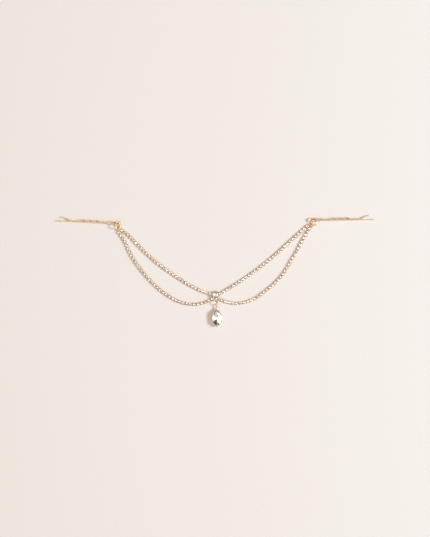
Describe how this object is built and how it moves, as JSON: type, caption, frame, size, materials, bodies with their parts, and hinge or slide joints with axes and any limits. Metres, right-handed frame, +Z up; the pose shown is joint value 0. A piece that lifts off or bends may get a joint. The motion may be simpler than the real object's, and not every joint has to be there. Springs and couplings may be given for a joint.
{
  "type": "hair chain",
  "caption": "Gold-toned hair chain: two swags of crystal cup chain hang between a pair of crimped hair pins, with a round claw-set centre stone and a pointed-oval drop.",
  "frame": {"origin": "on the surface that the piece lies on, below the middle of its bounding box", "axes": "+X along the piece from the left pin to the right pin, +Y from the drop toward the pins, +Z up out of the surface"},
  "size_m": [0.2527, 0.0886, 0.0045],
  "materials": {
    "pin_metal": "gold-toned steel strip, smooth",
    "gold_metal": "polished pale gold plate",
    "cup_chain": "polished pale gold cups with foiled clear stones",
    "crystal": "clear cut glass, foiled behind"
  },
  "bodies": {
    "root": {"left_pin": "pin_metal", "right_pin": "pin_metal", "left_ring": "gold_metal", "right_ring": "gold_metal", "left_end_bar": "gold_metal", "right_end_bar": "gold_metal", "left_upper_strand": "cup_chain", "left_lower_strand": "cup_chain", "right_upper_strand": "cup_chain", "right_lower_strand": "cup_chain", "centre_setting": "gold_metal", "centre_stone": "crystal", "drop_ring": "gold_metal", "drop_setting": "gold_metal", "drop_stone": "crystal"}
  },
  "joints": []
}
